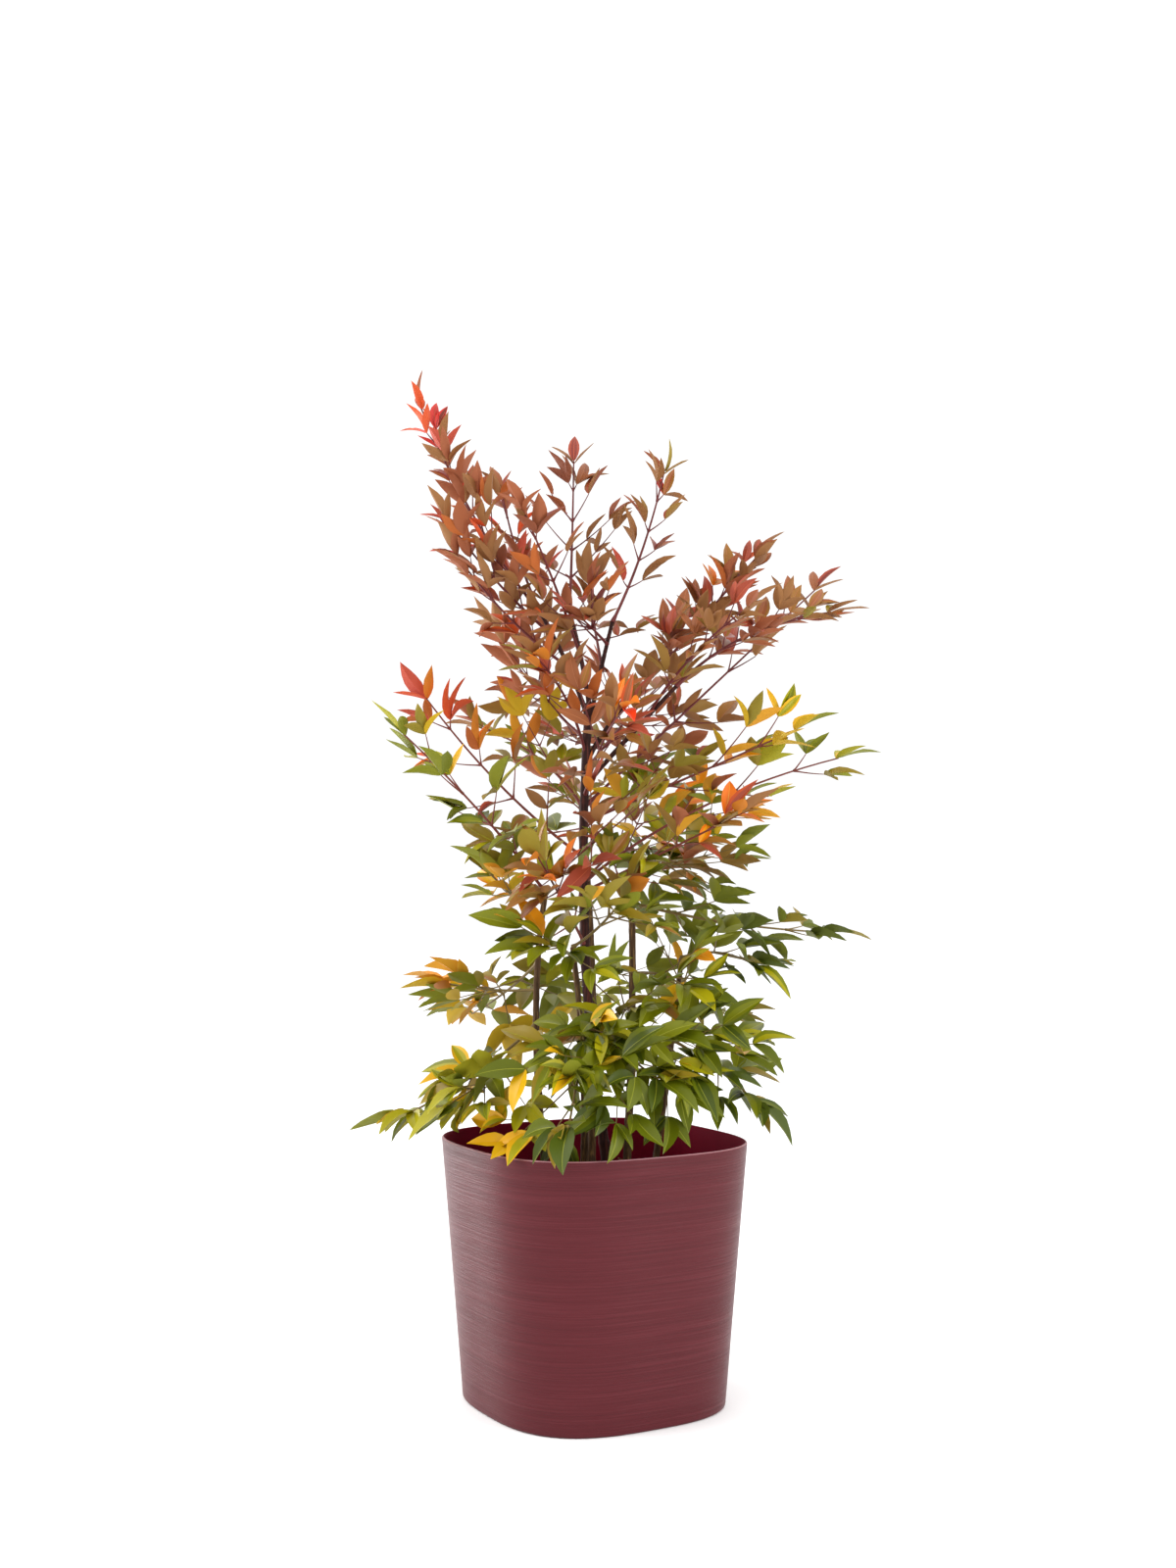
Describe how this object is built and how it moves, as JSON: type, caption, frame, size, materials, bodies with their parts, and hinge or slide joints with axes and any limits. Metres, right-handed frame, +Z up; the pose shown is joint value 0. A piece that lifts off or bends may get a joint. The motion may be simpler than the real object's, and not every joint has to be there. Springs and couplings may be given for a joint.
{
  "type": "potted heavenly bamboo",
  "caption": "Potted heavenly bamboo shrub: upright canes with airy sprays of pointed leaves, green below and russet above, in a tapered soft-cornered burgundy planter",
  "frame": {"origin": "middle of the planter's flat underside, at ground level", "axes": "+Z up, +X to the right and +Y away from the viewer as seen from the front; the planter's square plan is turned 29.4 degrees about Z"},
  "size_m": [0.538, 0.4301, 1.0458],
  "materials": {
    "pot": "satin, fine level brush marks",
    "soil": "loose, matte",
    "cane": "matte bark",
    "bough": "smooth, satin",
    "russet_leaf": "satin leaf",
    "amber_leaf": "satin leaf",
    "green_leaf": "satin leaf"
  },
  "bodies": {
    "root": {"pot": "pot", "soil": "soil", "main_cane": "cane", "right_cane": "cane", "left_cane": "cane", "back_cane": "cane", "front_cane": "cane", "east_cane": "cane", "left_bough": "bough", "middle_bough": "bough", "upper_right_bough": "bough", "right_bough": "bough", "low_right_bough": "bough", "top_left_spray": "russet_leaf", "left_red_spray": "russet_leaf", "left_low_red_spray": "russet_leaf", "upper_left_spray": "russet_leaf", "upper_middle_spray": "russet_leaf", "middle_spray": "russet_leaf", "upper_right_spray": "russet_leaf", "inner_front_spray": "russet_leaf", "inner_back_spray": "russet_leaf", "right_high_spray": "russet_leaf", "right_inner_spray": "russet_leaf", "far_right_spray": "russet_leaf", "right_tip_spray": "russet_leaf", "right_front_spray": "russet_leaf", "back_left_spray": "russet_leaf", "back_right_spray": "amber_leaf", "front_left_spray": "amber_leaf", "front_right_spray": "amber_leaf", "west_red_spray": "amber_leaf", "west_green_spray": "amber_leaf", "east_russet_spray": "amber_leaf", "east_gold_spray": "amber_leaf", "east_orange_spray": "amber_leaf", "front_orange_spray": "green_leaf", "front_russet_spray": "amber_leaf", "back_west_spray": "amber_leaf", "back_spray": "amber_leaf", "back_east_spray": "amber_leaf", "right_upper_green": "green_leaf", "right_long_green": "green_leaf", "right_front_green": "green_leaf", "east_green": "green_leaf", "east_low_green": "green_leaf", "east_back_green": "green_leaf", "left_upper_green": "green_leaf", "left_orange_green": "green_leaf", "left_low_green": "green_leaf", "left_gold": "green_leaf", "left_back_green": "green_leaf", "back_low_green": "green_leaf", "front_high_green": "green_leaf", "front_left_green": "green_leaf", "front_green": "green_leaf", "front_right_green": "green_leaf", "front_drooping_green": "green_leaf", "right_low_green": "green_leaf", "centre_green": "green_leaf"}
  },
  "joints": []
}
